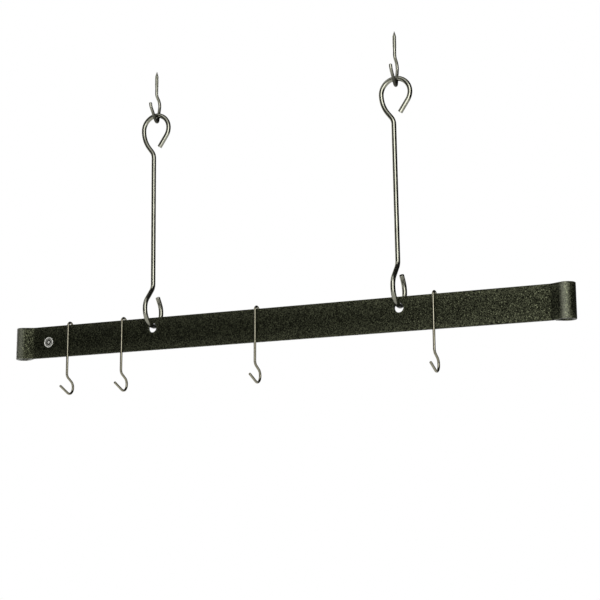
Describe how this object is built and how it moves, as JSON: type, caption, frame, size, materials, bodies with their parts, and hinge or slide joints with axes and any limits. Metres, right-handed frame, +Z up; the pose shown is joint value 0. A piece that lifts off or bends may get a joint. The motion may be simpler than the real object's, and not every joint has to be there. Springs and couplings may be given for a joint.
{
  "type": "ceiling pot rack",
  "caption": "Flat steel bar with rolled ends that hangs level from ceiling screw hooks on long wire hangers, with sliding wire hooks over its top edge for pots and pans.",
  "frame": {"origin": "on the ceiling plane, midway between the two screws", "axes": "+X along the bar to the right as seen from the front, +Y from the front of the rack to its back, +Z up along the screws"},
  "size_m": [0.9144, 0.0564, 0.5138],
  "materials": {
    "bar_coat": "dark textured powder coat",
    "hanger_steel": "dark grey satin steel",
    "hook_plating": "bright nickel plate"
  },
  "bodies": {
    "ceiling_hooks": {"ceiling_hook_left": "hanger_steel", "ceiling_hook_right": "hanger_steel"},
    "left_hanger": {"hanger_left": "hanger_steel"},
    "right_hanger": {"hanger_right": "hanger_steel"},
    "rack_bar": {"bar": "bar_coat"},
    "first_hook": {"pot_hook_1": "hook_plating"},
    "second_hook": {"pot_hook_2": "hook_plating"},
    "third_hook": {"pot_hook_3": "hook_plating"},
    "fourth_hook": {"pot_hook_4": "hook_plating"}
  },
  "joints": [
    {"name": "left_hanger_swing", "type": "hinge", "parent": "ceiling_hooks", "child": "left_hanger", "pos_m": [-0.2032, 0, -0.0463], "axis": [0, 1, 0], "range_deg": [-35, 35]},
    {"name": "right_hanger_swing", "type": "hinge", "parent": "ceiling_hooks", "child": "right_hanger", "pos_m": [0.2032, 0, -0.0463], "axis": [0, 1, 0], "range_deg": [-35, 35]},
    {"name": "bar_swing", "type": "hinge", "parent": "left_hanger", "child": "rack_bar", "pos_m": [-0.2032, 0, -0.38449], "axis": [0, 1, 0], "range_deg": [-35, 35]},
    {"name": "first_hook_slide", "type": "slide", "parent": "rack_bar", "child": "first_hook", "axis": [1, 0, 0], "range_m": [-0.055, 0.045]},
    {"name": "second_hook_slide", "type": "slide", "parent": "rack_bar", "child": "second_hook", "axis": [1, 0, 0], "range_m": [-0.046, 0.042]},
    {"name": "third_hook_slide", "type": "slide", "parent": "rack_bar", "child": "third_hook", "axis": [1, 0, 0], "range_m": [-0.168, 0.215]},
    {"name": "fourth_hook_slide", "type": "slide", "parent": "rack_bar", "child": "fourth_hook", "axis": [1, 0, 0], "range_m": [-0.042, 0.155]}
  ],
  "couplings": [
    {"joint": "right_hanger_swing", "follows": "left_hanger_swing", "ratio": 1},
    {"joint": "bar_swing", "follows": "left_hanger_swing", "ratio": -1}
  ]
}
